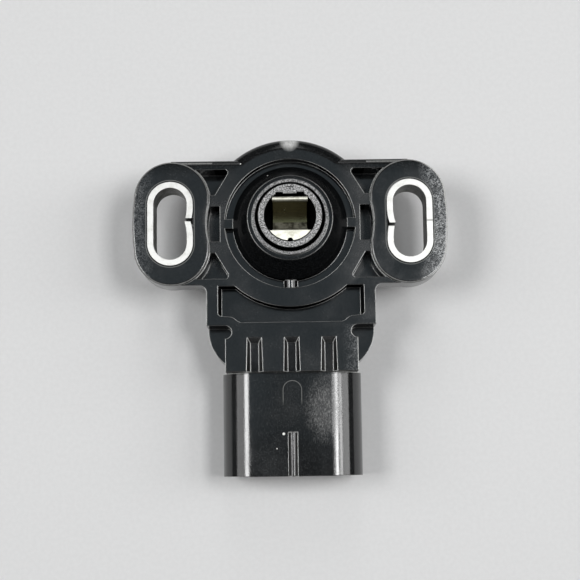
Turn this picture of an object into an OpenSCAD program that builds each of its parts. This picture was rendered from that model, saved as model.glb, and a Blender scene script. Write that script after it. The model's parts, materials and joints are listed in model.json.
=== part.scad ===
// Throttle position sensor: a rotary potentiometer in a moulded housing.
// Origin on the rotor axis in the mounting plane, +Z out of the mounting side,
// +Y away from the connector. All sizes in millimetres.

/* [Mounting ears] */
// Distance between the centres of the two slots
slot_spacing = 39.5; // [39:0.1:42]
// Distance from the slot's middle to the ear's outer side
ear_out = 6.25; // [5.8:0.05:6.6]
// Radius of the bow of the ear's outer side
ear_bow_r = 35; // [20:1:60]
// Radius of an ear's ends
ear_end_r = 6.2; // [5.6:0.05:6.5]
// Length of an ear along its slot
ear_l = 20.7; // [18:0.1:21.5]
// Thickness of an ear
ear_t = 5.9; // [5:0.1:7]
// Depth of the waist in the ear's inner side
waist_depth = 0.55; // [0.2:0.05:0.7]
// Radius of the waist
waist_r = 12; // [9:0.5:16]
// Ledge between an ear's wall and the pockets
pocket_ledge = 0.15; // [0.1:0.05:0.3]
// Rounding of the ear pad's edge
ear_round = 0.35; // [0.1:0.05:0.6]

/* [Slot bushes] */
// Width of a slot, inside its bush
slot_w = 5.5; // [4.5:0.1:6]
// Length of a slot, inside its bush
slot_l = 12; // [10:0.1:13]
// Sheet thickness of a bush
bush_t = 1; // [0.6:0.05:1.2]
// Height of the bush above the ear pad
bush_proud = 0.1; // [0:0.05:0.3]
// Gap between the two rolled ends
split_gap = 0.5; // [0.3:0.05:0.8]
// How far the split lies from the middle of the slot
split_offset = 0.6; // [0:0.1:1.5]
// How far the first rolled end bends into the slot
end_bend_a = 0.2; // [0:0.05:0.4]
// How far the second rolled end bends into the slot
end_bend_b = 0.4; // [0:0.05:0.6]
// Length of the bent stretch at each rolled end
end_bend_l = 2.4; // [1.5:0.1:3]

/* [Flange and ring] */
// Depth of the flange face below the mounting plane
face_drop = 1; // [0.6:0.1:1.5]
// Thickness of the flange
flange_t = 5.5; // [5:0.1:7]
// Half height of the flange on the side away from the connector
flange_y = 10.8; // [10:0.1:11.2]
// Half height of the flange on the connector's side
flange_low_y = 10.2; // [9.8:0.1:10.6]
// Rounding of the flange's long edge
flange_round = 1; // [0.4:0.1:1.5]
// Outer radius of the ring
ring_r = 14.4; // [13.8:0.1:14.8]
// Rounding of the ring's outer edge
ring_round = 1.9; // [0.6:0.1:2.2]
// Radius of the ring's wall in the lower pocket
ring_wall_r = 13.9; // [13.4:0.1:14.2]
// Inner radius of the seal groove
groove_r_in = 9.45; // [9.3:0.05:9.7]
// Outer radius of the seal groove
groove_r_out = 10.8; // [10.6:0.05:11]
// Depth of the seal groove
groove_depth = 2; // [1.5:0.1:2.5]
// Width of the two bridges across the groove
bridge_w = 1.6; // [1:0.1:2.5]
// Radius of the small rib across the groove
groove_rib_r = 1.1; // [0.6:0.1:1.4]
// Depth of the weight-saving pockets beside the ears
side_pocket_depth = 4.5; // [2:0.1:4.8]
// Width of the ribs between ring and ear
web_rib_w = 1.9; // [1.2:0.1:2.4]
// Length of the middle pocket beside an ear
mid_pocket_l = 5.9; // [4:0.1:6.5]
// Distance from the axis to the middle pocket, across
mid_pocket_x = 11.6; // [11.2:0.1:12.5]
// Distance from the axis to a corner pocket, across
corner_pocket_x = 10.25; // [9.8:0.05:11]
// Distance from the axis to a corner pocket's far edge, along
corner_pocket_y = 9.15; // [8.8:0.05:9.5]
// Distance from the axis to a corner pocket's tip, across
corner_pocket_tip = 12.4; // [12:0.1:13]
// How far the small rib lies below the ring's face
groove_rib_drop = 0.15; // [0.05:0.05:0.5]

/* [Boss and collar] */
// Height of the collar's rim above the mounting plane
collar_top = 4.8; // [3.6:0.1:5.4]
// Outer radius of the collar's rim
collar_r = 6.2; // [6.1:0.05:6.6]
// Wall of the collar's rim
collar_wall = 0.5; // [0.4:0.05:0.7]
// Height of the collar's rim above the cone
collar_h = 0.8; // [0.5:0.1:1]
// Radius of the cone at its shoulder
shoulder_r = 7; // [6.8:0.05:7.4]
// Depth of the seal's seat below the rim
seal_seat = 3; // [2.5:0.1:3.5]
// Height of the rubber ring
rotor_seal_h = 1.4; // [1:0.1:2]
// Broken edge of the collar and of the shoulder
edge_break = 0.1; // [0.05:0.05:0.2]

/* [Body and shell] */
// Depth of the back face below the mounting plane
body_depth = 16.5; // [16:0.1:18]
// Half width of the body and of the shell behind it
body_half_w = 13.9; // [13.6:0.1:14.2]
// Distance from the axis to the body's lower edge
body_y = 16.9; // [16.5:0.1:17.5]
// Radius between the ear's edge and the body's side
body_fillet = 1.3; // [0.5:0.1:1.8]
// Half width of the lower pocket
low_pocket_half_w = 12; // [11.5:0.1:12.4]
// Distance from the axis to the lower pocket's upper edge
low_pocket_y = 10.4; // [10:0.1:10.8]
// Width of the step at a lower corner of the pocket
low_step_w = 3.7; // [2:0.1:5]
// Height of the step at a lower corner of the pocket
low_step_h = 1.1; // [0.5:0.1:2]
// How much narrower the pocket is at its floor, at each side
low_pocket_draft = 0.4; // [0.1:0.05:0.6]
// Depth of the lower pocket
low_pocket_depth = 3.7; // [2:0.1:4]
// Wall left between the lower pocket and the body's lower edge
low_pocket_lip = 0.5; // [0.4:0.1:1]
// Depth of the shell's shoulder below the mounting plane
shell_top = 6.6; // [6.6:0.1:9]
// Corner radius of the shell
shell_corner = 7; // [5:0.1:7.5]
// How far the shell's end lies behind the neck's end
shell_step = 0.3; // [0.1:0.1:0.6]

/* [Neck] */
// Half width of the neck
neck_half_w = 10.87; // [10:0.1:11.2]
// Distance from the axis to the end of the neck
neck_y = 24.5; // [24:0.1:25.5]
// Radius of the notch at each side of the neck
notch_r = 1.08; // [0.8:0.02:1.6]
// Width of a flute at the shroud
flute_w = 2.65; // [1.6:0.05:3]
// Width of a flute's flat floor
flute_floor_w = 1.4; // [0.8:0.1:2]
// Depth of a flute at the shroud
flute_depth = 1.25; // [0.6:0.05:1.6]
// Depth of a flute at its upper end
flute_depth_end = 0.95; // [0.4:0.05:1.5]
// Run of the sloping wall at a flute's upper end
flute_run = 0.8; // [0.2:0.1:1.5]
// Length of a flute
flute_l = 5.6; // [3:0.1:6]

/* [Connector] */
// Distance between neighbouring terminals
pitch = 6.1; // [5.5:0.1:6.5]
// Width of the shroud
shroud_w = 23.2; // [22:0.1:25]
// Height of the shroud
shroud_h = 13; // [12:0.1:13.5]
// Length of the shroud
shroud_l = 17; // [15:0.1:20]
// Corner radius of the shroud
shroud_corner = 5.2; // [3:0.1:5.8]
// Wall of the shroud
shroud_wall = 1.35; // [1:0.05:1.8]
// Depth of the socket
socket_depth = 14.3; // [12:0.1:15]
// Width of the key rib on the shroud
key_w = 1.5; // [1:0.1:2.5]
// Length of the key rib
key_l = 7.2; // [5:0.1:10]
// Height of the key rib
key_h = 0.7; // [0.4:0.1:1]
// Width of a terminal blade
blade_w = 2.3; // [1.5:0.1:2.8]
// Thickness of a terminal blade
blade_t = 0.8; // [0.5:0.05:1]
// Length of blade that stands in the socket
blade_out = 9.5; // [7:0.1:11]

/* [Rotor] */
// Radius of the rotor's journal
journal_r = 5.15; // [5:0.05:5.3]
// Radial clearance of the journal in the housing
journal_gap = 0.05; // [0.02:0.01:0.1]
// Height of the rotor above the collar's rim
rotor_proud = 1; // [0.5:0.1:1.5]
// Radius of the hole in the rotor
rotor_hole_r = 4.2; // [4.05:0.05:4.3]
// Depth of the hole in the rotor
rotor_hole_depth = 10; // [8:0.1:10.2]
// Distance from the axis to the hole's flat
hole_flat = 3.85; // [3.7:0.05:4]
// Distance from the axis to the tab at the hole's flat
hole_tab = 3.6; // [3.4:0.05:3.7]
// Width of that tab
hole_tab_w = 2.2; // [1:0.1:3]
// Width of the hole at its flat
hole_flat_w = 4.6; // [3:0.1:5]
// Width of the index mark beside the hole
mark_w = 1.1; // [0.8:0.1:1.5]
// Length of the index mark
mark_l = 0.7; // [0.4:0.1:0.9]
// Depth of the index mark
mark_depth = 0.25; // [0.1:0.05:0.4]
// Radius of the rotor's disc
disc_r = 9.4; // [9:0.1:9.6]
// Thickness of the rotor's disc
disc_t = 1.8; // [1.5:0.1:2]
// Radius of the rotor's pivot in the back cover
pivot_r = 1.5; // [1:0.1:2]
// Angle that the rotor can turn
turn_deg = 100; // [60:1:120]

/* [Rotor clip] */
// Sheet thickness of the clip
clip_t = 0.3; // [0.2:0.05:0.4]
// Width of the clip's leaves
clip_w = 5.7; // [5:0.1:6]
// Free gap between the clip's leaves
clip_gap = 4.15; // [4.1:0.05:4.4]
// How far the clip's gap lies off the rotor axis
clip_offset = 0.325; // [0.2:0.025:0.5]
// Depth of the clip below the rotor's top
clip_depth = 9.2; // [7:0.1:9.5]
// Width of the clip's upper fold
fold_w = 0.75; // [0.6:0.05:0.9]
// Outward lean of the clip's lower leaf below its flange
leaf_lean = 0.5; // [0.2:0.05:0.7]
// Height of that leaning stretch
leaf_lean_h = 2.2; // [1:0.1:3]
// Outer radius of the clip's flange
clip_flange_r = 4.05; // [3.6:0.05:4.1]
// Radius of the notch in the clip's flange
clip_notch_r = 0.45; // [0.2:0.05:0.6]

/* [Inside] */
// Depth of the chamber's ceiling below the mounting plane
chamber_top = 6.6; // [6.4:0.05:7]
// Room for the spring washer above the rotor's disc
washer_room = 0.7; // [0.5:0.05:0.9]
// Thickness of the spring washer
washer_t = 0.2; // [0.1:0.05:0.3]
// Gap between the rotor's journal and the spring washer
washer_gap = 0.4; // [0.2:0.1:0.8]
// Width of the spring washer's ring
washer_w = 2; // [1:0.1:3]
// Radius of the rotor chamber
chamber_r = 10.3; // [10.2:0.05:10.6]
// Depth of the board's seat below the mounting plane
board_seat = 11; // [10.8:0.1:11.4]
// Thickness of the resistor board
board_t = 1; // [0.6:0.1:1.2]
// Radius of the round end of the resistor board
board_r = 10.9; // [10.8:0.05:11.2]
// Half width of the board at the terminals
board_half_w = 9.2; // [8.5:0.1:9.6]
// Distance from the axis to the board's straight edge
board_y = 20; // [19:0.1:20.5]
// Radius of the inner printed track
track_mid_in = 5; // [4.8:0.1:5.2]
// Radius of the outer printed track
track_mid_out = 7.6; // [7.2:0.1:7.8]
// Width of a printed track
track_w = 1.9; // [1.4:0.1:2]
// Sheet thickness of the wiper
wiper_t = 0.2; // [0.1:0.05:0.3]
// Width of the wiper's plate
wiper_w = 2.5; // [2:0.1:3]
// Width of a wiper finger
finger_w = 0.6; // [0.4:0.05:0.7]
// Gap between two wiper fingers
finger_gap = 0.3; // [0.2:0.05:0.4]
// Rise of the bent contact of a wiper finger
contact_h = 0.4; // [0.2:0.05:0.5]
// Length of a wiper finger
finger_l = 3; // [2.5:0.1:3.5]
// Thickness of the printed tracks
track_t = 0.1; // [0.05:0.05:0.15]
// Radius of a solder joint
solder_r = 1.4; // [1:0.1:1.6]
// Height of a solder joint
solder_h = 0.2; // [0.1:0.05:0.3]
// Thickness of the cover seal
seal_t = 0.8; // [0.5:0.1:1]
// Thickness of the back cover
cover_t = 2; // [1.5:0.1:2.2]
// How far the back cover lies inside the housing's back edge
cover_inset = 0.3; // [0.1:0.1:0.6]
// Radius of a post on the back cover
post_r = 1; // [0.8:0.1:1.3]
// Wall of the housing around the back cover
rim_wall = 1.2; // [0.8:0.1:1.5]
// Width of the ledge that carries the cover seal
ledge_w = 1.5; // [1.2:0.1:1.8]

/* [Hidden] */
$fn = 96;

// Small overlap that keeps a cut clear of the face it starts from
eps = 0.01;
// Clearance between pieces that are laid or clipped together
fit_gap = 0.05;

// How far the ear's round ends stand out past its bowed side
ear_blend = 0.04;
pivot_in = 0.8;
blade_in = 4;
chamber_inset = 0.8;
finger_x = 1.2;
track_start = 20;
track_deg = 280;
lug_angle = 250;
lug_half = 8;
stop_gap = 1.5;

slot_x = slot_spacing / 2;
slot_r = slot_w / 2;
slot_half_l = slot_l / 2 - slot_r;
pad_z = -bush_proud;
ear_end_y = ear_l / 2 - ear_end_r;
ear_bow_x = ear_out - ear_bow_r;
ear_end_x = ear_bow_x + sqrt(pow(ear_bow_r - ear_end_r, 2) - pow(ear_end_y, 2)) + ear_blend;
face_z = -face_drop;
flange_z = face_z - flange_t;
back_z = -body_depth;
ear_bottom = pad_z - ear_t;
shell_z = -shell_top;

pocket_floor = face_z - side_pocket_depth;
low_floor = face_z - low_pocket_depth;
groove_floor = face_z - groove_depth;

bore_r = journal_r + journal_gap;
seat_z = collar_top - seal_seat;
seat_r = collar_r - collar_wall;

shroud_z = back_z + shroud_h / 2;
mouth_y = -neck_y - shroud_l;
socket_y = mouth_y + socket_depth;
socket_w = shroud_w - 2 * shroud_wall;
socket_h = shroud_h - 2 * shroud_wall;
socket_corner = shroud_corner - shroud_wall;

ceiling_z = -chamber_top;
board_z = -board_seat;
board_bottom = board_z - board_t;
cover_bottom = back_z + cover_inset;
cover_top = cover_bottom + cover_t;
ledge_z = cover_top + seal_t;

rotor_top = collar_top + rotor_proud;
disc_top = ceiling_z - washer_room;
disc_bottom = disc_top - disc_t;
hole_floor = rotor_top - rotor_hole_depth;
pivot_end = cover_top - pivot_in;

blade_z = board_z + solder_h + blade_t / 2;
blade_tip = socket_y - blade_out;
blade_end = -board_y + blade_in;

black = "#17191c";
hub_grey = "#6b6d6e";
steel = "#c9ccd0";
stainless = "#d8d4c8";
rubber = "#101112";
tin = "#b9bcc0";
board_green = "#3d4a3c";
carbon = "#1b1b1d";
cover_black = "#1c1e21";

// Rectangle with round corners, centred
module round_rect(w, l, r) {
    square([w - 2 * r, l], center = true);
    square([w, l - 2 * r], center = true);
    for (sx = [-1, 1], sy = [-1, 1])
        translate([sx * (w / 2 - r), sy * (l / 2 - r)]) circle(r);
}

// Plan of a slot or an ear: straight sides along Y and two round ends
module stadium(w, l) {
    square([w, l - w], center = true);
    for (s = [-1, 1])
        translate([0, s * (l - w) / 2]) circle(w / 2);
}

// Upright piece of any plan between two levels
module between(z0, z1) {
    translate([0, 0, z0]) linear_extrude(z1 - z0) children();
}

// Round edge of a plate: quarter circle profile at the top right corner
module rounded_edge_profile(w, h, r) {
    square([w - r, h]);
    square([w, h - r]);
    translate([w - r, h - r]) circle(r);
}

// Disc with a rounded upper edge, lying on z = 0
module rounded_disc(radius, h, r) {
    rotate_extrude() rounded_edge_profile(radius, h, r);
}

// Plan of the shell behind the flange
module shell_plan(inset) {
    half = body_half_w - inset;
    corner = shell_corner - inset;
    end = neck_y - shell_step - inset;
    circle(half);
    translate([-half, -end + corner]) square([2 * half, end - corner]);
    translate([-half + corner, -end]) square([2 * (half - corner), end]);
    for (s = [-1, 1])
        translate([s * (half - corner), -end + corner]) circle(corner);
}

// Plan of the board and of the chamber around it
module board_plan(extra) {
    circle(board_r + extra);
    translate([-board_half_w - extra, -board_y - extra])
        square([2 * (board_half_w + extra), board_y + extra]);
}

// Circle that hollows the inner side of the right ear, in the ear's own place
module ear_waist(shrink) {
    translate([ear_end_x - ear_end_r + waist_depth - waist_r, 0]) circle(waist_r - shrink);
}

// Plan of the right ear's inner side, grown by a ledge
module ear_plan(grow) {
    difference() {
        translate([ear_end_x, 0])
            stadium(2 * (ear_end_r + grow), 2 * (ear_end_y + ear_end_r + grow));
        ear_waist(grow);
    }
}

// The right ear with its raised pad: round ends, straight inner side, bowed outer side
module ear() {
    overlap = 1;
    bow_y = ear_end_y * ear_bow_r / (ear_bow_r - ear_end_r);
    translate([0, 0, ear_bottom]) {
        for (s = [-1, 1])
            translate([ear_end_x, s * ear_end_y, 0])
                rounded_disc(ear_end_r, ear_t, ear_round);
        rotate([0, 0, 180])
            translate([-ear_end_x, ear_end_y, 0])
                rotate([90, 0, 0])
                    linear_extrude(2 * ear_end_y)
                        rounded_edge_profile(ear_end_r, ear_t, ear_round);
        intersection() {
            translate([ear_bow_x, 0, 0]) rounded_disc(ear_bow_r, ear_t, ear_round);
            translate([-overlap, -bow_y, -overlap])
                cube([ear_end_r + 2 * overlap, 2 * bow_y, ear_t + 2 * overlap]);
        }
    }
}

// Flange between the ears, with its rounded long edge
module flange() {
    translate([-slot_x, 0, flange_z])
        rotate([90, 0, 90])
            linear_extrude(2 * slot_x)
                rounded_edge_profile(flange_y, flange_t, flange_round);
    between(flange_z, face_z)
        translate([-slot_x, -flange_low_y])
            square([2 * slot_x, flange_low_y]);
    translate([0, 0, flange_z])
        rounded_disc(ring_r, flange_t, ring_round);
}

// Body block below the ring, with the round inner corners under the ears
module body_block() {
    between(flange_z, face_z)
        translate([-body_half_w, -body_y])
            square([2 * body_half_w, body_y]);
    for (s = [-1, 1])
        between(flange_z, face_z)
            difference() {
                translate([s * (body_half_w + body_fillet / 2), -flange_low_y - body_fillet / 2])
                    square([body_fillet + eps, body_fillet + eps], center = true);
                translate([s * (body_half_w + body_fillet), -flange_low_y - body_fillet])
                    circle(body_fillet);
            }
}

// Conical boss and collar
module boss() {
    rotate_extrude()
        polygon([[0, flange_z], [groove_r_in, flange_z], [groove_r_in, face_z],
            [shoulder_r, collar_top - collar_h - edge_break],
            [shoulder_r - edge_break, collar_top - collar_h],
            [collar_r, collar_top - collar_h], [collar_r, collar_top - edge_break],
            [collar_r - edge_break, collar_top], [0, collar_top]]);
}

// Neck between body and shroud
module neck() {
    between(shell_z - 1, face_z)
        translate([-neck_half_w, -neck_y])
            square([2 * neck_half_w, neck_y - body_y + 1]);
}

// Connector shroud with its half-round key rib
module shroud() {
    translate([0, mouth_y, shroud_z])
        rotate([-90, 0, 0])
            linear_extrude(shroud_l)
                round_rect(shroud_w, shroud_h, shroud_corner);
    translate([0, mouth_y, shroud_z + shroud_h / 2 + key_h - key_w / 2])
        rotate([-90, 0, 0])
            cylinder(d = key_w, h = key_l);
}

// Ring groove with its bridges and small rib
module groove() {
    rib_in = 1;
    rib_l = groove_r_out - groove_r_in + 2 * rib_in;
    difference() {
        between(groove_floor, face_z + eps)
            difference() {
                circle(groove_r_out);
                circle(groove_r_in);
            }
        between(groove_floor - 1, face_z + 1)
            square([4 * groove_r_out, bridge_w], center = true);
        translate([0, -groove_r_in + rib_in, face_z - groove_rib_r - groove_rib_drop])
            rotate([90, 0, 0]) cylinder(r = groove_rib_r, h = rib_l);
        between(groove_floor - 1, face_z - groove_rib_r - groove_rib_drop)
            translate([-groove_rib_r, -groove_r_in + rib_in - rib_l])
                square([2 * groove_rib_r, rib_l]);
    }
}

// Pocket between ring, ear and flange edge, on the right
module corner_pocket(tip) {
    far = slot_x - slot_r;
    polygon([[corner_pocket_x, corner_pocket_y - 3 * edge_break],
        [corner_pocket_x + 3 * edge_break, corner_pocket_y], [far, corner_pocket_y], [far, tip],
        [corner_pocket_tip, tip], [corner_pocket_x, corner_pocket_y - 7 * edge_break]]);
}

// The three pockets beside one ear, on the right
module side_pockets() {
    half_mid = mid_pocket_l / 2;
    between(pocket_floor, face_z + eps)
        difference() {
            union() {
                for (s = [0, 1])
                    mirror([0, s]) corner_pocket(half_mid + web_rib_w);
                translate([mid_pocket_x, -half_mid])
                    square([slot_x - slot_r - mid_pocket_x, mid_pocket_l]);
            }
            translate([slot_x, 0]) ear_plan(pocket_ledge);
        }
    between(face_z, pad_z + eps)
        translate([slot_x, 0])
            intersection() {
                ear_waist(0);
                translate([ear_end_x - ear_end_r - 1, -ear_end_y]) square([2, 2 * ear_end_y]);
            }
}

// Plan of the recess of the body below the ring
module low_pocket_plan() {
    bottom = -body_y + low_pocket_lip;
    step_y = bottom + low_step_h;
    half = low_pocket_half_w;
    chamfer = 0.3 * low_step_h;
    for (s = [0, 1])
        mirror([s, 0])
            polygon([[-eps, -low_pocket_y], [half, -low_pocket_y], [half, step_y + chamfer],
                [half - chamfer, step_y], [half - 0.55 * low_step_w, step_y - 0.15 * low_step_h],
                [half - 0.7 * low_step_w, step_y - 0.35 * low_step_h],
                [half - 0.86 * low_step_w, bottom + 0.2 * low_step_h],
                [half - low_step_w, bottom], [-eps, bottom]]);
}

// Recess of the body below the ring, with sloping sides
module low_pocket() {
    half = low_pocket_half_w;
    narrow = half - low_pocket_draft;
    intersection() {
        between(low_floor, face_z + eps)
            difference() {
                low_pocket_plan();
                circle(ring_wall_r);
            }
        rotate([90, 0, 0])
            linear_extrude(body_y)
                polygon([[-narrow, low_floor - 1], [narrow, low_floor - 1], [narrow, low_floor],
                    [half, face_z], [half, face_z + 1], [-half, face_z + 1], [-half, face_z],
                    [-narrow, low_floor]]);
    }
}

// Flutes in the neck, one over each terminal: flat floors between sloping walls
module flutes() {
    rise = 2 * flute_depth;
    tilt = atan((flute_depth - flute_depth_end) / flute_l);
    spread = rise * (flute_w - flute_floor_w) / 2 / flute_depth;
    for (i = [-1 : 1])
        translate([i * pitch, -neck_y, face_z])
            intersection() {
                translate([0, 0, -flute_depth])
                    rotate([90 + tilt, 0, 0])
                        translate([0, 0, -2 * flute_l])
                            linear_extrude(3 * flute_l)
                                polygon([[-flute_floor_w / 2, 0], [flute_floor_w / 2, 0],
                                    [flute_floor_w / 2 + spread, rise],
                                    [-flute_floor_w / 2 - spread, rise]]);
                rotate([90, 0, 90])
                    translate([0, 0, -flute_w])
                        linear_extrude(2 * flute_w)
                            polygon([[-eps, -rise], [flute_l - flute_run * rise / flute_depth_end, -rise],
                                [flute_l, 0], [flute_l, rise / 2], [-eps, rise / 2]]);
            }
}

// Space for rotor, board, seal and cover, open to the back
module chamber() {
    between(board_z, ceiling_z)
        circle(chamber_r);
    between(board_z - eps, ceiling_z)
        translate([-board_half_w + chamber_inset, -board_y + chamber_inset])
            square([2 * (board_half_w - chamber_inset), board_y - chamber_inset]);
    between(ledge_z - eps, board_z)
        board_plan(fit_gap);
    between(back_z - 1, ledge_z)
        shell_plan(rim_wall);
}

// Stops for the rotor's lug: an inner rim that is open over the rotor's travel
module rotor_stops() {
    free = turn_deg + 2 * lug_half + 2 * stop_gap;
    translate([0, 0, disc_bottom])
        rotate([0, 0, lug_angle - lug_half - stop_gap + free])
            rotate_extrude(angle = 360 - free)
                translate([disc_r + 0.15, 0])
                    square([chamber_r - disc_r, ceiling_z - disc_bottom + eps]);
}

module housing() {
    color(black) {
        difference() {
            union() {
                for (s = [0, 180])
                    rotate([0, 0, s]) translate([slot_x, 0, 0]) ear();
                flange();
                body_block();
                boss();
                between(back_z, flange_z + eps)
                    intersection() {
                        shell_plan(0);
                        translate([-body_half_w, -body_y])
                            square([2 * body_half_w, body_y + body_half_w]);
                    }
                between(back_z, shell_z) shell_plan(0);
                neck();
                shroud();
            }
            for (s = [-1, 1])
                translate([s * slot_x, 0, 0])
                    between(ear_bottom - 1, 1)
                        stadium(slot_w + 2 * bush_t, slot_l + 2 * bush_t);
            for (s = [0, 1])
                mirror([s, 0, 0]) side_pockets();
            low_pocket();
            groove();
            flutes();
            for (s = [-1, 1])
                between(shell_z, face_z + 1)
                    translate([s * neck_half_w, -body_y - notch_r])
                        circle(notch_r);
            between(ceiling_z - 1, collar_top + 1) circle(bore_r);
            between(seat_z, collar_top + 1) circle(seat_r);
            chamber();
            translate([0, mouth_y - eps, shroud_z])
                rotate([-90, 0, 0])
                    linear_extrude(socket_depth + eps)
                        round_rect(socket_w, socket_h, socket_corner);
            for (i = [-1 : 1])
                translate([i * pitch - blade_w / 2, socket_y - 1, blade_z - blade_t / 2])
                    cube([blade_w, neck_y, blade_t]);
        }
        rotor_stops();
    }
}

// Half of the split side of a bush: straight, then bent into the slot
module rolled_end(length, bend, up) {
    steps = 8;
    start = max(0.3, length - end_bend_l);
    run = length - start;
    inner = [for (i = [0 : steps])
        [slot_r - bend * pow(i / steps, 2), up * (start + run * i / steps)]];
    outer = [for (i = [steps : -1 : 0])
        [slot_r + bush_t - bend * pow(i / steps, 2), up * (start + run * i / steps)]];
    polygon(concat([[slot_r + bush_t, 0.1 * up], [slot_r, 0.1 * up]], inner, outer));
}

// Rolled sleeve of the left slot, with its split on the side of the rotor
module bush() {
    stub = 0.2;
    upper = slot_half_l - split_offset - split_gap / 2;
    lower = slot_half_l + split_offset - split_gap / 2;
    between(ear_bottom, 0)
        difference() {
            stadium(slot_w + 2 * bush_t, slot_l + 2 * bush_t);
            stadium(slot_w, slot_l);
            translate([0, stub - slot_half_l])
                square([slot_w, 2 * (slot_half_l - stub)]);
        }
    between(ear_bottom, 0)
        translate([0, slot_half_l]) rolled_end(upper, end_bend_a, -1);
    between(ear_bottom, 0)
        translate([0, -slot_half_l]) rolled_end(lower, end_bend_b, 1);
}

module bush_left() {
    color(steel) translate([-slot_x, 0, 0]) bush();
}

module bush_right() {
    color(steel) translate([slot_x, 0, 0]) rotate([0, 0, 180]) bush();
}

// Plan of the hole in the hub: round, with a flat, a tab and the clip's seat
module rotor_hole() {
    leaf_y = clip_offset + clip_gap / 2;
    difference() {
        union() {
            circle(rotor_hole_r);
            translate([-hole_flat_w / 2, 0]) square([hole_flat_w, hole_flat]);
        }
        translate([-rotor_hole_r, hole_flat]) square([2 * rotor_hole_r, rotor_hole_r]);
        translate([-hole_tab_w / 2, hole_tab]) square([hole_tab_w, rotor_hole_r]);
    }
    translate([-clip_w / 2 - 2 * fit_gap, 0])
        square([clip_w + 4 * fit_gap, leaf_y + fold_w + 2 * fit_gap]);
}

// Drive hub: hollow journal, disc with stop lug, and pivot
module rotor() {
    color(hub_grey)
        difference() {
            union() {
                between(disc_bottom, rotor_top) circle(journal_r);
                between(disc_bottom, disc_top) circle(disc_r);
                between(disc_bottom, disc_top)
                    rotate([0, 0, lug_angle - lug_half])
                        intersection() {
                            circle(chamber_r - 0.15);
                            polygon([[0, 0], [2 * disc_r, 0],
                                [2 * disc_r * cos(2 * lug_half), 2 * disc_r * sin(2 * lug_half)]]);
                        }
                between(pivot_end, disc_bottom) circle(pivot_r);
            }
            between(hole_floor, rotor_top + 1) rotor_hole();
            between(rotor_top - mark_depth, rotor_top + 1)
                translate([-mark_w / 2, rotor_hole_r - 0.15]) square([mark_w, mark_l]);
        }
}

// Leaf spring: folded upper leaf, floor, lower leaf and flange
module rotor_clip() {
    upper = clip_offset + clip_gap / 2;
    lower = clip_offset - clip_gap / 2;
    top = rotor_top;
    floor_z = top - clip_depth;
    fold_z = top - fold_w / 2;
    chord = lower - leaf_lean;
    lean_z = top - leaf_lean_h;
    color(stainless) {
        rotate([90, 0, 90])
            translate([0, 0, -clip_w / 2])
                linear_extrude(clip_w)
                    union() {
                        translate([upper, floor_z]) square([clip_t, fold_z - floor_z]);
                        translate([lower - clip_t, floor_z])
                            square([upper - lower + 2 * clip_t, clip_t]);
                        polygon([[lower - clip_t, floor_z], [lower, floor_z], [lower, lean_z],
                            [chord, top - clip_t / 2], [chord - clip_t / 2, top],
                            [chord - 2 * clip_t, top], [chord - 2 * clip_t, top - clip_t],
                            [chord - clip_t, top - clip_t], [lower - clip_t, lean_z]]);
                        translate([upper + fold_w / 2, fold_z])
                            difference() {
                                circle(fold_w / 2);
                                circle(fold_w / 2 - clip_t);
                                translate([-fold_w, -2 * fold_w]) square([2 * fold_w, 2 * fold_w]);
                            }
                    }
        between(top - clip_t, top)
            difference() {
                intersection() {
                    circle(clip_flange_r);
                    translate([-journal_r, -journal_r])
                        square([2 * journal_r, journal_r + chord - clip_t / 2]);
                }
                translate([0, -clip_flange_r]) circle(clip_notch_r);
            }
    }
}

// Rubber ring in the collar's seat
module rotor_seal() {
    color(rubber)
        rotate_extrude()
            polygon([[journal_r + fit_gap, seat_z], [seat_r, seat_z],
                [seat_r, seat_z + rotor_seal_h],
                [(journal_r + seat_r) / 2, seat_z + 0.8 * rotor_seal_h],
                [journal_r + fit_gap, seat_z + 0.3 * rotor_seal_h]]);
}

// Spring washer with three waves, above the rotor's disc
module wave_washer() {
    waves = 3;
    segments = 72;
    low = disc_top + fit_gap;
    high = ceiling_z - fit_gap;
    mid = (low + high - washer_t) / 2;
    swing = (high - washer_t - low) / 2;
    r_in = journal_r + washer_gap;
    r_out = r_in + washer_w;
    points = [for (i = [0 : segments - 1], k = [0 : 3])
        let (a = 360 * i / segments, r = k == 0 || k == 3 ? r_in : r_out, up = k >= 2 ? washer_t : 0)
            [r * cos(a), r * sin(a), mid + swing * cos(waves * a) + up]];
    faces = [for (i = [0 : segments - 1], k = [0 : 3])
        let (n = (i + 1) % segments, m = (k + 1) % 4)
            [4 * i + k, 4 * i + m, 4 * n + m, 4 * n + k]];
    color(steel) polyhedron(points, faces, convexity = 4);
}

// Stamped contact spring under the rotor's disc: a plate and two pairs of fingers
module wiper() {
    step = finger_w + finger_gap;
    color(stainless) {
        between(disc_bottom - wiper_t, disc_bottom)
            translate([finger_x, track_mid_in - step])
                square([wiper_w, track_mid_out - track_mid_in + 2 * step]);
        for (r = [track_mid_in, track_mid_out], k = [-1, 0])
            translate([finger_x, r + k * step + finger_gap / 2, disc_bottom - wiper_t])
                wiper_finger();
    }
}

// One finger of the wiper: sloping leaf with a bent contact
module wiper_finger() {
    drop = disc_bottom - wiper_t - (board_z + track_t + fit_gap);
    translate([0, finger_w, 0])
        rotate([90, 0, 0])
            linear_extrude(finger_w)
                polygon([[eps, wiper_t], [eps, 0], [-finger_l, -drop + 0.75 * wiper_t],
                    [-finger_l - contact_h, -drop], [-finger_l - 2 * contact_h, -drop + contact_h],
                    [-finger_l - 2 * contact_h, -drop + contact_h + 1.25 * wiper_t],
                    [-finger_l - 0.9 * contact_h, -drop + 1.5 * wiper_t]]);
}

module resistor_board() {
    color(board_green)
        between(board_bottom, board_z)
            difference() {
                board_plan(0);
                circle(pivot_r + 0.6);
            }
}

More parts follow.
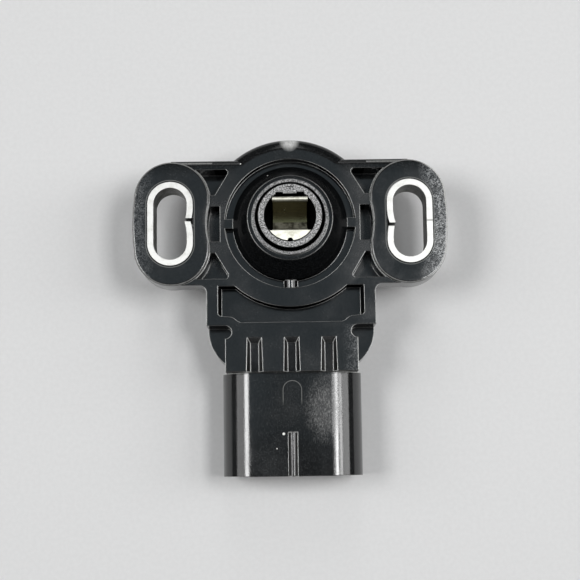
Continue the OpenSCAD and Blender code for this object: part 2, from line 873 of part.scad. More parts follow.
// Printed arcs and their pads at the terminals
module carbon_tracks() {
    color(carbon)
        translate([0, 0, board_z]) {
            for (r = [track_mid_in, track_mid_out])
                rotate([0, 0, track_start])
                    rotate_extrude(angle = track_deg)
                        translate([r - track_w / 2, 0]) square([track_w, track_t]);
        }
}

// Flat blade through the wall, chamfered at its tip
module terminal(i) {
    color(tin)
        translate([i * pitch, 0, blade_z])
            rotate([0, -90, 0])
                translate([0, 0, -blade_w / 2])
                    linear_extrude(blade_w)
                        polygon([[-blade_t / 2, blade_end], [-blade_t / 2, blade_tip + blade_t],
                            [-blade_t / 5, blade_tip], [blade_t / 5, blade_tip],
                            [blade_t / 2, blade_tip + blade_t], [blade_t / 2, blade_end]]);
}

module terminal_supply() {
    terminal(-1);
}

module terminal_signal() {
    terminal(0);
}

module terminal_ground() {
    terminal(1);
}

// Solder between the blades and the board
module solder_joints() {
    color(tin)
        for (i = [-1 : 1])
            translate([i * pitch, blade_end - 1, board_z])
                cylinder(r1 = solder_r, r2 = 0.7 * solder_r, h = solder_h);
}

module cover_seal() {
    color(rubber)
        between(cover_top, ledge_z)
            difference() {
                shell_plan(rim_wall + 0.15);
                shell_plan(rim_wall + ledge_w - 0.2);
            }
}

// Back plate with four posts that hold the board on its seat
module back_cover() {
    color(cover_black)
        difference() {
            union() {
                between(cover_bottom, cover_top) shell_plan(rim_wall + fit_gap);
                for (x = [-1, 1], y = [blade_in - board_y, -2 * post_r])
                    translate([x * (board_half_w - post_r), y, 0])
                        between(cover_top - eps, board_bottom - fit_gap) circle(post_r);
                between(cover_top - eps, board_bottom - 0.3) circle(pivot_r + 1.2);
            }
            between(pivot_end - 0.3, board_bottom + 1) circle(pivot_r + journal_gap);
        }
}

housing();
bush_left();
bush_right();
rotor();
rotor_clip();
rotor_seal();
wave_washer();
wiper();
resistor_board();
carbon_tracks();
terminal_supply();
terminal_signal();
terminal_ground();
solder_joints();
cover_seal();
back_cover();
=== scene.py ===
import json
import math
from functools import partial
from types import SimpleNamespace

import bpy
from mathutils import Matrix, Vector


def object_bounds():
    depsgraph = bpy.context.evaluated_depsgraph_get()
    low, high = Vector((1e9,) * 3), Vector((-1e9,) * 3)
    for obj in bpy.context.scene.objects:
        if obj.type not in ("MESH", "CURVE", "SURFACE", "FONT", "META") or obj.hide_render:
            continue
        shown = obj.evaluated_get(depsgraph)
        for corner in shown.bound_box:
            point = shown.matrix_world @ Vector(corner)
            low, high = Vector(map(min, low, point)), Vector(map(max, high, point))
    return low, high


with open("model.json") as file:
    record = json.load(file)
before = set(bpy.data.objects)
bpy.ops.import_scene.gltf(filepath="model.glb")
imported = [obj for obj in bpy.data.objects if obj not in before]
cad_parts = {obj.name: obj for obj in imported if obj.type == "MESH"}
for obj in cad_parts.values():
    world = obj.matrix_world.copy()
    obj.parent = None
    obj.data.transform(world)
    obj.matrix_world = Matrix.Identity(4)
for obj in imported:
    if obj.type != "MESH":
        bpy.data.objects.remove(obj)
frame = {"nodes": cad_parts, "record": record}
cad_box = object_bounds()

# Camera. The image is taken to be 580 x 580 pixels
IMAGE_PX = 580
FOCAL_PX = 1300
SENSOR_MM = 36
CAMERA_TILT = math.radians(7.45)
CAMERA_TURN = math.radians(-0.8)
CAMERA_AIM = Vector((-0.00016, -0.0113, 0.0))
CAMERA_DISTANCE = 0.2124

# Floor and light
FLOOR_SIZE = 3.0
FLOOR_GREY = 0.70
WORLD_GREY = 0.09
PART_MIDDLE = Vector((0.0, -0.012, 0.0))
LAMP_DISTANCE = 0.6
WHITE = (1.0, 1.0, 1.0)
PALE_BLUE = (0.68, 0.88, 1.0)
# Lamps: name, direction seen from the part, width, length, radiance and colour
LAMPS = [
    ("soft_left", (-0.475, 0.02, 0.880), 0.20, 0.155, 13.5, WHITE),
    ("soft_left_low", (-0.788, 0.08, 0.616), 0.20, 0.34, 2.2, WHITE),
    ("soft_right", (0.35, 0.02, 0.94), 0.21, 0.115, 18.0, WHITE),
    ("soft_right_mid", (0.59, 0.02, 0.81), 0.13, 0.115, 8.5, WHITE),
    ("soft_right_low", (0.829, 0.08, 0.559), 0.20, 0.28, 3.2, WHITE),
    ("soft_back", (0.0, 0.80, 0.6), 0.10, 0.4, 2.2, WHITE),
    ("soft_above", (0.0, 0.14, 0.99), 0.4, 0.2, 0.32, PALE_BLUE),
]

# Metres in a millimetre
MM = 0.001

# Places on the part, in metres
COLLAR_TOP = 0.0048
COLLAR_INNER = 0.00568
CONE_FOOT = 0.0094
ROTOR_TOP = 0.0058
CLIP_FLOOR = -0.0034
SLOT_X = 0.01975
SLOT_HALF_STRAIGHT = 0.00325
BUSH_OUTER = 0.00375
NECK_START = -0.0169
SHROUD_START = -0.0245
# The ears' faces lie above the first height, and the shroud's upper side above the second
PAD_LEVEL = -0.0012
UPPER_LEVEL = -0.0045
# How far below a level face its mask still reaches
FACE_SLACK = 0.0003
# A face is a wall where its normal's upward part is smaller than the first, and a level one
# where it is larger than the second
WALL_FACING = 0.5
LEVEL_FACING = 0.7
# Cosine between the softened and the real normal where an edge starts and where it is full
EDGE_COSINE = (0.995, 0.92)

# Housing: radius of its softened edges, and share of the grain and of the shroud's drawn lines
# in its relief
HOUSING_EDGE_MM = 0.20
GRAIN_SHARE = 0.5
DRAWN_SHARE = 4.5

# Housing: limits of its pockets, of the ears' faces and of the groove, in metres
POCKET_X = 0.0125
POCKET_Y = (-0.0166, 0.0096)
POCKET_LOW = -0.0058
EAR_X = 0.0128
GROOVE_WALL_R = 0.0114

# Housing: where each mark starts to show and where it is full, in metres
# The scuff bounds below also bound a painted sheen on the ears and the neck
RIGHT_EAR_SCUFF_AND_SHEEN_X = (0.0212, 0.0242)
LEFT_EAR_SCUFF_AND_SHEEN_X = (-0.0222, -0.0255)
NECK_SCUFF_AND_SHEEN_X = (0.0082, 0.0106)
NECK_SCUFF_AND_SHEEN_Y = (-0.0165, -0.0175)
# The ear and neck wear bounds also bound the painted edge highlights
EAR_WEAR_AND_HIGHLIGHT_X = (0.0215, 0.0235)
NECK_WEAR_AND_HIGHLIGHT_Y = (NECK_START + 0.001, NECK_START - 0.001)
# Around each bush: a painted shadow in the gap and a painted highlight on the lip
BUSH_SHADOW_R = (BUSH_OUTER + 0.00018, BUSH_OUTER + 0.00012)
BUSH_HIGHLIGHT_HALF = (0.00009, 0.00004)
KNIT_HALF = (0.00010, 0.00004)
ARCH_HALF = (0.00007, 0.00003)
# The rub bounds place the pale rub mark that also paints a glint on the ring's rounded top
RUB_GLINT_Z = (-0.0050, -0.0038)
CONE_START_R = (0.0063, 0.0066)
CONE_END_R = (0.0096, 0.0093)
RING_START_R = (0.0106, 0.0110)
RING_END_R = (0.0146, 0.0140)
RING_DULL_X = (0.006, 0.0115)
TOP_SLOPE_R = (0.0124, 0.0130)
TOP_SLOPE_Y = (0.008, 0.010)
TOP_GROOVE_Y = (0.0070, 0.0085)
SHROUD_MIDDLE_X = (0.007, 0.002)
SHROUD_SIDE_X = (0.0070, 0.0085)

# Housing: places of its small marks, in metres
# Radius of the painted highlight on the lip around each bush
BUSH_HIGHLIGHT_R = BUSH_OUTER + 0.00026
KNIT_X = (0.0130, 0.0160)
ARCH_MIDDLE_Y = -0.0274
ARCH_R = 0.00153
ARCH_LEG_Y = (ARCH_MIDDLE_Y - 0.0026, ARCH_MIDDLE_Y - 0.0016)
# Where the rub mark with its painted glint starts
RUB_GLINT_START_Y = 0.0112

# Housing: ovals in plan, as x, y, half width and half length in millimetres
# The frost oval also sets where the shroud's pale streaks paint a sheen
FROST_MM = (5.2, -30.5, 3.7, 6.5)
# The rub oval is the rub mark that also paints a glint on the ring's rounded top
RUB_GLINT_MM = (0.07, 14.3, 1.85, 2.3)
# Housing: light specks, as x, y and radius in millimetres
SPECKS_MM = [(-1.50, -34.58, 0.25), (-2.65, -36.97, 0.10), (-3.60, 7.57, 0.11),
             (-8.10, 10.10, 0.12), (7.60, -14.90, 0.09), (-10.60, -13.10, 0.08)]

# Spring clip: flange and fold near the rotor's top, painted bright as a highlight, the floor below
# painted darker as shade with a painted reflection strip, and middle of a bright fleck
CLIP_TOP_Z = (ROTOR_TOP - 0.0011, ROTOR_TOP - 0.0006)
CLIP_FLOOR_TOP = CLIP_FLOOR + 0.0006
CLIP_REFLECTION_Y = (0.0006, 0.0004)
FLECK_X = -0.00092
FLECK_Z = -0.00189
FLECK_HALF_W = (0.00014, 0.00009)
FLECK_HALF_H = (0.0006, 0.0004)
FLECK_MIN_Y = 0.002

# Bushes: half width of the dark tick on the right bush, and the x where it starts
TICK_HALF = (0.00020, 0.00012)
TICK_X = 0.0215

# Sheet metal: noise scale along the lines and across them, and relief of the lines
LINES_ALONG = 500.0
LINES_ACROSS = 9000.0
LINES_STRENGTH = 0.35
LINES_DEPTH_MM = 0.012


class Field:
    """A number that varies over the surface. Arithmetic on it adds the nodes that work it out.
    A comparison gives a mask: 1 where it holds and 0 elsewhere."""

    def __init__(self, socket):
        self.socket = socket

    def __add__(self, other):
        return maths("ADD", self, other)

    def __sub__(self, other):
        return maths("SUBTRACT", self, other)

    def __rsub__(self, other):
        return maths("SUBTRACT", other, self)

    def __mul__(self, other):
        return maths("MULTIPLY", self, other)

    def __gt__(self, limit):
        return maths("GREATER_THAN", self, limit)

    def __lt__(self, limit):
        return maths("LESS_THAN", self, limit)

    def __abs__(self):
        return maths("ABSOLUTE", self)

    def fade(self, span, low=0.0, high=1.0):
        """Goes from low at the span's first value to high at its second, and is level outside."""
        start, full = span
        limits = {"From Min": start, "From Max": full, "To Min": low, "To Max": high}
        node = new_node(self.socket.id_data, "ShaderNodeMapRange", {"Value": self, **limits})
        return Field(node.outputs["Result"])


def feed(entry, value):
    """Gives a node's input a number, a tuple, a field or another node's output."""
    if isinstance(value, Field):
        value = value.socket
    if isinstance(value, bpy.types.NodeSocket):
        entry.id_data.links.new(value, entry)
    elif entry.type == "RGBA":
        entry.default_value = (*value, 1)
    else:
        entry.default_value = value


def new_node(tree, kind, inputs=None, **properties):
    """A node with its properties set and its inputs fed, each by its name or number."""
    node = tree.nodes.new(kind)
    for name, value in properties.items():
        setattr(node, name, value)
    for name, value in (inputs or {}).items():
        feed(node.inputs[name], value)
    return node


def maths(operation, *values):
    """One step of arithmetic on fields and numbers. At least one value is a field."""
    tree = next(value.socket.id_data for value in values if isinstance(value, Field))
    node = new_node(tree, "ShaderNodeMath", dict(enumerate(values)), operation=operation)
    return Field(node.outputs[0])


def largest(first, *others):
    """The largest of any number of fields and numbers."""
    for other in others:
        first = maths("MAXIMUM", first, other)
    return first


def distance(across, along):
    """Length of a step with two parts at right angles."""
    return maths("SQRT", across * across + along * along)


class Finish:
    """A node material in the making: its shader, and the surface's place as fields x, y, z."""

    def __init__(self, name):
        self.material = bpy.data.materials.new(name)
        self.material.use_nodes = True
        self.shader = self.material.node_tree.nodes["Principled BSDF"]
        self.place = self.node("ShaderNodeTexCoord").outputs["Object"]
        self.x, self.y, self.z = self.axes(self.place)

    def node(self, kind, inputs=None, **properties):
        """A new node in this material."""
        return new_node(self.material.node_tree, kind, inputs, **properties)

    def shade(self, inputs):
        """Feeds the shader's inputs by name."""
        for name, value in inputs.items():
            feed(self.shader.inputs[name], value)

    def axes(self, vector):
        """The three parts of a vector, as fields."""
        parts = self.node("ShaderNodeSeparateXYZ", {"Vector": vector}).outputs
        return [Field(part) for part in parts]

    def facing_up(self):
        """Upward part of the surface's normal."""
        return self.axes(self.node("ShaderNodeNewGeometry").outputs["Normal"])[2]

    def noise(self, scale, detail=3.0, rough=0.6):
        """Fractal noise. Its scale is one number, or one for each axis."""
        place = self.place
        if isinstance(scale, tuple):
            place = self.node("ShaderNodeMapping", {"Vector": place, "Scale": scale}).outputs["Vector"]
            scale = 1.0
        inputs = {"Vector": place, "Scale": scale, "Detail": detail, "Roughness": rough}
        return Field(self.node("ShaderNodeTexNoise", inputs).outputs["Fac"])

    def lines(self, axis):
        """Fine lines along one axis, 0 for x to 2 for z, as on rolled or brushed sheet."""
        scale = tuple(LINES_ALONG if index == axis else LINES_ACROSS for index in range(3))
        return self.noise(scale, detail=4.0, rough=0.7)

    def oval(self, x_mm, y_mm, half_w_mm, half_l_mm):
        """Distance from a point in plan, as a share of an oval's half width and half length."""
        inputs = {"Vector": self.place,
                  "Location": (-x_mm / half_w_mm, -y_mm / half_l_mm, 0.0),
                  "Scale": (1 / (half_w_mm * MM), 1 / (half_l_mm * MM), 0.0)}
        shares = self.node("ShaderNodeMapping", inputs).outputs["Vector"]
        length = self.node("ShaderNodeVectorMath", {0: shares}, operation="LENGTH")
        return Field(length.outputs["Value"])

    def ramp(self, factor, stops):
        """Colour ramp. Each stop is a position and a grey or an RGB triple."""
        node = self.node("ShaderNodeValToRGB", {"Fac": factor})
        elements = node.color_ramp.elements
        while len(elements) < len(stops):
            elements.new(0.5)
        for element, (position, tone) in zip(elements, stops):
            rgb = tone if isinstance(tone, tuple) else (tone,) * 3
            element.position = position
            element.color = (*rgb, 1)
        return node.outputs["Color"]

    def blend(self, mask, under, over):
        """Lays one colour over another where the mask is 1."""
        return self.node("ShaderNodeMix", {0: mask, 6: under, 7: over}, data_type="RGBA").outputs[2]

    def soft_edges(self, edge_mm):
        """Surface normal with the edges rounded by a small radius."""
        return self.node("ShaderNodeBevel", {"Radius": edge_mm * MM}, samples=8).outputs["Normal"]

    def nearness(self, edge):
        """How far a softened normal leaves the real one: 0 on flat faces, 1 on edges."""
        flat = self.node("ShaderNodeNewGeometry").outputs["Normal"]
        match = self.node("ShaderNodeVectorMath", {0: edge, 1: flat}, operation="DOT_PRODUCT")
        return Field(match.outputs["Value"]).fade(EDGE_COSINE)

    def bump(self, height, strength, depth_mm, normal=None):
        """Fine relief on the shader, over the given normal if there is one."""
        inputs = {"Height": height, "Strength": strength, "Distance": depth_mm * MM}
        if normal is not None:
            inputs["Normal"] = normal
        self.shade({"Normal": self.node("ShaderNodeBump", inputs).outputs["Normal"]})


def housing_map(finish):
    """Where a point of the housing lies: its distances, and masks of the larger regions."""
    x, y, z = finish.x, finish.y, finish.z
    side = abs(x)
    radius = distance(x, y)
    facing = finish.facing_up()
    pocket_wall = ((abs(facing) < WALL_FACING) * (side < POCKET_X)
                   * (y > POCKET_Y[0]) * (y < POCKET_Y[1]) * (z > POCKET_LOW))
    rim = (z > COLLAR_TOP - FACE_SLACK) * (radius > COLLAR_INNER)
    return SimpleNamespace(side=side, radius=radius, facing=facing, pocket_wall=pocket_wall, rim=rim,
                           pad=z > PAD_LEVEL, upper=z > UPPER_LEVEL, shroud=y < SHROUD_START)


def housing_scuffs_and_sheen(finish, at):
    """Blotchy scuff marks, partly real and partly a painted sheen: most on the right ear's outer side,
    less on the left ear and the neck.
    """
    right_ear = at.pad * finish.x.fade(RIGHT_EAR_SCUFF_AND_SHEEN_X)
    left_ear = at.pad * finish.x.fade(LEFT_EAR_SCUFF_AND_SHEEN_X, high=0.4)
    neck = (at.pad * finish.y.fade(NECK_SCUFF_AND_SHEEN_Y) * finish.x.fade(NECK_SCUFF_AND_SHEEN_X, high=0.35)
            * (1 - at.shroud))
    patches = finish.noise(900.0, detail=2.0).fade((0.35, 0.60), low=0.30)
    blotches = finish.noise(5600.0, detail=4.0, rough=0.75).fade((0.46, 0.58))
    return largest(right_ear, left_ear, neck) * patches * blotches


def housing_wear_and_highlights(finish, at, edge, near_edge, specks):
    """Rubbed edges, partly real wear and partly painted edge highlights: most where they face
    sideways towards the side lamps and on the right ear, least in the pockets, and a little more on the
    neck and shroud."""
    # Edges facing sideways, towards the side lamps, and the ears' rounded sides get the painted
    # highlight, strongest on the right ear
    sideways = abs(finish.axes(edge)[0]).fade((0.05, 0.40), low=0.10)
    edges = near_edge * sideways * (1 - at.pocket_wall * 0.9)
    rounded = (at.side > EAR_X) * at.pad * at.facing.fade((0.97, 0.88)) * at.facing.fade((0.45, 0.65))
    ears = rounded * finish.x.fade(EAR_WEAR_AND_HIGHLIGHT_X, low=0.35)
    return (largest(edges, ears) * specks.fade((0.28, 0.52), low=0.40)
            * finish.y.fade(NECK_WEAR_AND_HIGHLIGHT_Y, low=0.8))


def bush_shade_highlight_and_knit(finish, at):
    """Painted shadow in the gap and painted highlight on the lip around each bush, and the knit line
    beside the right one.
    """
    across = at.side - SLOT_X
    along = largest(abs(finish.y) - SLOT_HALF_STRAIGHT, 0.0)
    from_slot = distance(across, along)
    painted_gap_shadow = at.pad * from_slot.fade(BUSH_SHADOW_R)
    painted_lip_highlight = at.pad * abs(from_slot - BUSH_HIGHLIGHT_R).fade(BUSH_HIGHLIGHT_HALF, high=0.8)
    knit = (at.pad * abs(finish.y).fade(KNIT_HALF, high=0.8)
            * (finish.x > KNIT_X[0]) * (finish.x < KNIT_X[1]))
    return painted_gap_shadow, painted_lip_highlight, knit


def arch_line(finish, at):
    """Arch-shaped witness line on the shroud's upper side, with two straight legs."""
    past_middle = largest(finish.y - ARCH_MIDDLE_Y, 0.0)
    from_line = abs(distance(finish.x, past_middle) - ARCH_R)
    return from_line.fade(ARCH_HALF, high=0.9) * at.shroud * finish.y.fade(ARCH_LEG_Y) * at.upper


def light_specks(finish, at):
    """A few small light specks on the housing's upper faces."""
    spots = [finish.oval(x, y, radius, radius).fade((1.0, 0.7)) for x, y, radius in SPECKS_MM]
    return largest(*spots) * at.upper


def shroud_streaks_and_sheen(finish, at, frost):
    """Fine pale streaks on the shroud, thickest in its frosted patch, where they also paint a sheen."""
    streaks = finish.noise((7000.0, 2200.0, 7000.0), detail=4.0, rough=0.8)
    return at.shroud * streaks.fade((0.50, 0.66)) * (frost * 0.90 + 0.07)


def rub_mark_and_glint(finish):
    """Pale rub mark on the ring's rounded top, streaked towards the groove, that also paints a glint
    there.
    """
    streaks = finish.noise((5200.0, 900.0, 900.0), rough=0.7)
    return (finish.oval(*RUB_GLINT_MM).fade((1.0, 0.45)) * streaks.fade((0.30, 0.55), low=0.55)
            * (finish.y > RUB_GLINT_START_Y) * finish.z.fade(RUB_GLINT_Z))


def housing_roughness(at, grain, cloud, specks, scuffs_and_sheen, frost):
    """Cloudy gloss: duller where scuffed or frosted, on the collar's rim and at the left and
    right of the ring, and glossier at the shroud's sides."""
    ring = (at.radius.fade(RING_START_R) * at.radius.fade(RING_END_R)
            * at.side.fade(RING_DULL_X, high=0.12))
    shroud_sides = at.shroud * at.side.fade(SHROUD_SIDE_X, high=-0.06)
    return (cloud.fade((0.35, 0.68), low=0.08, high=0.21) + scuffs_and_sheen * 0.25 + at.rim * 0.35 + ring
            + grain.fade((0.3, 0.7), low=-0.03, high=0.05) + frost * specks * 0.30 + shroud_sides)


def housing_mirror(finish, at, near_edge):
    """How well the surface mirrors: less on the cone, in the pockets, along the shroud's middle
    and on the ring's top slope and groove, and not at all on walls outside the cone's foot."""
    strongest = 1.6
    cone = at.radius.fade(CONE_START_R) * at.radius.fade(CONE_END_R)
    middle = at.shroud * at.side.fade(SHROUD_MIDDLE_X, high=0.6)
    top_slope = at.radius.fade(TOP_SLOPE_R, high=1.1) * finish.y.fade(TOP_SLOPE_Y)
    top_groove = near_edge * (at.radius < GROOVE_WALL_R) * finish.y.fade(TOP_GROOVE_Y, high=1.5)
    quiet = largest(cone, at.pocket_wall * strongest, middle, top_slope, top_groove)
    black_wall = at.pocket_wall * (at.radius > CONE_FOOT)
    return quiet.fade((0.0, strongest), low=0.75, high=0.12) * (1 - black_wall)


def moulded_housing(name):
    """Glossy black moulding: fine grain on the faces, drawn lines on the shroud, rubbed edges with
    painted highlights, scuff marks with painted sheen, painted shadow and highlight around the bushes, a
    rub mark with a painted glint, seams, small marks and a dull grey collar rim."""
    finish = Finish(name)
    at = housing_map(finish)
    grain = finish.noise(6500.0, detail=2.0)
    drawn = finish.noise((7500.0, 300.0, 7500.0), detail=4.0, rough=0.7)
    cloud = finish.noise(170.0, rough=0.5)
    specks = finish.noise(4200.0, detail=2.0, rough=0.8)
    edge = finish.soft_edges(HOUSING_EDGE_MM)
    near_edge = finish.nearness(edge)

    scuffs_and_sheen = housing_scuffs_and_sheen(finish, at)
    frost = finish.oval(*FROST_MM).fade((1.0, 0.35)) * at.shroud
    dust = cloud.fade((0.40, 0.7)) * specks.fade((0.60, 0.70), high=0.5) * (at.facing > LEVEL_FACING)
    painted_gap_shadow, painted_lip_highlight, knit = bush_shade_highlight_and_knit(finish, at)
    marks = [
        (dust, (0.06, 0.063, 0.066)),
        # Scuff marks, partly real and partly a painted sheen
        (scuffs_and_sheen, (0.40, 0.41, 0.415)),
        # Rubbed edges, partly real wear and partly painted edge highlights
        (housing_wear_and_highlights(finish, at, edge, near_edge, specks), (0.80, 0.805, 0.78)),
        (knit, (0.001, 0.001, 0.001)),
        # Painted shadow in the gap around each bush
        (painted_gap_shadow, (0.001, 0.001, 0.001)),
        # Painted highlight on the lip around each bush
        (painted_lip_highlight, (0.16, 0.16, 0.15)),
        # Pale streaks, thickest in the frosted patch, where they paint a sheen
        (shroud_streaks_and_sheen(finish, at, frost), (0.24, 0.24, 0.235)),
        (arch_line(finish, at), (0.18, 0.18, 0.17)),
        (light_specks(finish, at), (0.9, 0.9, 0.86)),
        # Rub mark that also paints a glint on the ring's rounded top
        (rub_mark_and_glint(finish), (0.56, 0.56, 0.55)),
        (at.rim, finish.ramp(specks, [(0.40, 0.03), (0.5, 0.15), (0.62, 0.42)])),
    ]
    colour = finish.ramp(specks, [(0.36, (0.0015, 0.0017, 0.0019)), (0.5, (0.0050, 0.0055, 0.0060)),
                                  (0.64, (0.0120, 0.0130, 0.0138))])
    for mask, tone in marks:
        colour = finish.blend(mask, colour, tone)

    finish.shade({"Base Color": colour,
                  "Roughness": housing_roughness(at, grain, cloud, specks, scuffs_and_sheen, frost),
                  "Specular IOR Level": housing_mirror(finish, at, near_edge)})
    relief = grain * GRAIN_SHARE * (1 - at.shroud) + drawn * at.shroud * DRAWN_SHARE
    finish.bump(relief, strength=0.4, depth_mm=0.003, normal=edge)
    return finish.material


def dark_cover(name):
    """The plainer moulding of the back cover."""
    finish = Finish(name)
    grain = finish.noise(4500.0)
    finish.shade({"Base Color": finish.ramp(finish.noise(200.0), [(0.3, 0.010), (0.7, 0.016)]),
                  "Roughness": grain.fade((0.3, 0.7), low=0.38, high=0.5)})
    finish.bump(grain, strength=0.6, depth_mm=0.012, normal=finish.soft_edges(edge_mm=0.14))
    return finish.material


def metal_surface(finish, lines, colour, roughness, edge_mm, metallic=1.0):
    """What all sheet metal shares: fine lines in relief and softened edges."""
    finish.shade({"Base Color": colour, "Roughness": roughness, "Metallic": metallic})
    finish.bump(lines, LINES_STRENGTH, LINES_DEPTH_MM, finish.soft_edges(edge_mm))
    return finish.material


def sheet_steel(name, colour, rough, axis, edge_mm):
    """Bare sheet metal with fine lines along one axis and slightly darker stains."""
    finish = Finish(name)
    lines = finish.lines(axis)
    darker = tuple(0.88 * part for part in colour)
    stain = finish.noise(420.0, detail=4.0, rough=0.55)
    stained = finish.ramp(stain, [(0.25, darker), (0.6, colour)])
    roughness = lines.fade((0.3, 0.7), low=rough - 0.08, high=rough + 0.1)
    return metal_surface(finish, lines, stained, roughness, edge_mm)


def clip_steel(name):
    """Spring steel: scuffed flange and fold painted bright as a highlight, tanned leaves with one bright
    fleck, and a floor painted darker as shade below them, with a painted reflection along the connector's
    side."""
    finish = Finish(name)
    lines = finish.lines(0)
    stain = finish.noise(900.0)
    # The flange and fold are painted bright as a highlight, the floor below the leaves is painted darker
    # as shade, and its band on the connector's side is a painted reflection
    top = finish.z.fade(CLIP_TOP_Z)
    low = finish.z < CLIP_FLOOR_TOP
    reflection_strip = low * finish.y.fade(CLIP_REFLECTION_Y)
    fleck = (abs(finish.x - FLECK_X).fade(FLECK_HALF_W) * abs(finish.z - FLECK_Z).fade(FLECK_HALF_H)
             * (finish.y > FLECK_MIN_Y))
    # Bright tone painted as the flange and fold's highlight, and the tone of the floor's painted
    # reflection
    bright = finish.ramp(stain, [(0.30, (0.55, 0.54, 0.45)), (0.55, (0.84, 0.84, 0.75))])
    reflection_tone = finish.ramp(stain, [(0.36, (0.05, 0.04, 0.025)), (0.58, (0.32, 0.265, 0.19))])
    colour = finish.blend(low, (0.36, 0.32, 0.19), (0.28, 0.255, 0.14))
    for mask, tone in ((reflection_strip, reflection_tone), (fleck, (0.95, 0.93, 0.85)), (top, bright)):
        colour = finish.blend(mask, colour, tone)
    roughness = lines.fade((0.3, 0.7), low=0.10, high=0.20) + top * 0.36
    return metal_surface(finish, lines, colour, roughness, edge_mm=0.05, metallic=1 - fleck)


def bush_metal(name):
    """Rolled sheet bush: pale cut ends with fine lines, the inside faces painted darker as shade, a small
    dark tick.
    """
    finish = Finish(name)
    lines = finish.lines(2)
    stain = finish.noise(700.0, detail=4.0)
    # The bush's inside faces are painted darker as shade
    shaded_wall = abs(finish.facing_up()) < WALL_FACING
    tick = abs(finish.y).fade(TICK_HALF, high=0.6) * (finish.x > TICK_X)
    pale = finish.ramp(stain, [(0.30, (0.60, 0.60, 0.57)), (0.50, (0.72, 0.72, 0.70))])
    wall_shade = finish.ramp(stain, [(0.30, (0.10, 0.10, 0.09)), (0.60, (0.26, 0.26, 0.25))])
    colour = finish.blend(tick, finish.blend(shaded_wall, pale, wall_shade), (0.16, 0.16, 0.15))
    roughness = lines.fade((0.3, 0.7), low=0.45, high=0.62)
    return metal_surface(finish, lines, colour, roughness, edge_mm=0.12)


def speckled_hub(name):
    """Filled plastic: speckled grey on the open end, black painted as shade in the hole, dark edges."""
    finish = Finish(name)
    specks = finish.noise(4800.0, rough=0.75)
    top = finish.z > ROTOR_TOP - FACE_SLACK
    edge = finish.soft_edges(edge_mm=0.11)
    grey = finish.ramp(specks, [(0.40, 0.02), (0.5, 0.20), (0.60, 0.62)])
    # Below the open end the hub is painted black as shade
    colour = finish.blend(top, (0.004, 0.004, 0.004), grey)
    colour = finish.blend(finish.nearness(edge), colour, (0.006, 0.006, 0.006))
    finish.shade({"Base Color": colour, "Roughness": 0.55, "Specular IOR Level": top * 0.5})
    finish.bump(specks, strength=0.5, depth_mm=0.03, normal=edge)
    return finish.material


def soft_rubber(name):
    """Matt black rubber with a fine grain."""
    finish = Finish(name)
    grain = finish.noise(5000.0, rough=0.5)
    finish.shade({"Base Color": finish.ramp(grain, [(0.3, 0.006), (0.7, 0.014)]), "Roughness": 0.7})
    finish.bump(grain, strength=0.3, depth_mm=0.02)
    return finish.material


def laminate(name, dark, light, weave):
    """Woven laminate or printed ink: two tones in a fine check."""
    finish = Finish(name)
    inputs = {"Vector": finish.place, "Scale": weave, "Distortion": 1.5, "Detail": 2.0}
    check = finish.node("ShaderNodeTexWave", inputs).outputs["Fac"]
    finish.shade({"Base Color": finish.ramp(check, [(0.2, dark), (0.8, light)]), "Roughness": 0.5})
    finish.bump(check, strength=0.2, depth_mm=0.01)
    return finish.material


def dress_nodes():
    """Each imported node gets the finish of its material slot."""
    makers = {
        "housing_plastic": moulded_housing,
        "cover_plastic": dark_cover,
        "bush_steel": bush_metal,
        "spring_steel": clip_steel,
        "tinned_brass": partial(sheet_steel, colour=(0.66, 0.65, 0.62), rough=0.28, axis=1, edge_mm=0.05),
        "solder": partial(sheet_steel, colour=(0.6, 0.6, 0.6), rough=0.35, axis=0, edge_mm=0.1),
        "rotor_plastic": speckled_hub,
        "seal_rubber": soft_rubber,
        "board": partial(laminate, dark=(0.03, 0.05, 0.03), light=(0.05, 0.08, 0.045), weave=900.0),
        "carbon_ink": partial(laminate, dark=(0.01, 0.01, 0.01), light=(0.02, 0.02, 0.02), weave=1500.0),
    }
    finishes = {slot: maker(slot) for slot, maker in makers.items()}
    for part in frame["record"]["subparts"]:
        node = frame["nodes"][part["node"]]
        node.data.materials.clear()
        node.data.materials.append(finishes[part["material_slot"]])


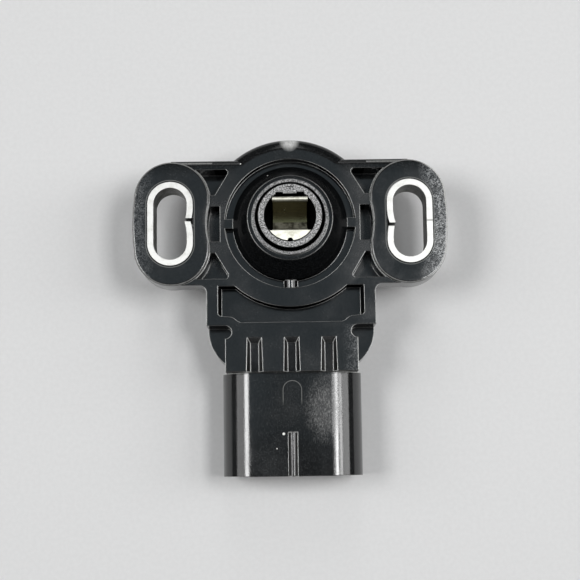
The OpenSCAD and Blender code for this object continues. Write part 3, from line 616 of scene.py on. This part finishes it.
def floor():
    """Plain pale floor under the lowest point of the part."""
    bpy.ops.mesh.primitive_plane_add(size=FLOOR_SIZE, location=(0, 0, cad_box[0][2]))
    plane = bpy.context.object
    plane.name = "floor"
    finish = Finish("floor_pale")
    grain = finish.noise(1400.0, detail=2.0, rough=0.5)
    pale = finish.ramp(grain, [(0.35, 0.97 * FLOOR_GREY), (0.65, FLOOR_GREY)])
    finish.shade({"Base Color": pale, "Roughness": 0.75})
    plane.data.materials.append(finish.material)


def camera():
    """Camera nearly above the part, a little to the connector's side."""
    data = bpy.data.cameras.new("camera")
    data.sensor_width = SENSOR_MM
    data.lens = FOCAL_PX / IMAGE_PX * SENSOR_MM
    data.clip_start = 0.01
    data.clip_end = 10
    eye = bpy.data.objects.new("camera", data)
    bpy.context.scene.collection.objects.link(eye)
    turn = Matrix.Rotation(CAMERA_TURN, 3, "Z")
    ahead = turn @ Vector((0, math.sin(CAMERA_TILT), -math.cos(CAMERA_TILT)))
    up = turn @ Vector((0, math.cos(CAMERA_TILT), math.sin(CAMERA_TILT)))
    right = turn @ Vector((1, 0, 0))
    pose = Matrix((right, up, -ahead)).transposed().to_4x4()
    pose.translation = CAMERA_AIM - ahead * CAMERA_DISTANCE
    eye.matrix_world = pose
    bpy.context.scene.camera = eye


def soft_box(name, direction, width, length, radiance, colour):
    """Area lamp of an even brightness, aimed at the part."""
    data = bpy.data.lights.new(name, "AREA")
    data.shape = "RECTANGLE"
    data.size = width
    data.size_y = length
    data.energy = math.pi * width * length * radiance
    data.color = colour
    lamp = bpy.data.objects.new(name, data)
    bpy.context.scene.collection.objects.link(lamp)
    ray = Vector(direction).normalized()
    lamp.location = PART_MIDDLE + ray * LAMP_DISTANCE
    lamp.rotation_euler = (-ray).to_track_quat("-Z", "Y").to_euler()


def studio():
    """Soft boxes around the part, in an even grey world."""
    for lamp in LAMPS:
        soft_box(*lamp)
    world = bpy.data.worlds.new("studio")
    bpy.context.scene.world = world
    world.use_nodes = True
    feed(world.node_tree.nodes["Background"].inputs["Color"], (WORLD_GREY,) * 3)


camera()
studio()
floor()
dress_nodes()

scene = bpy.context.scene
scene.view_settings.view_transform = "Standard"
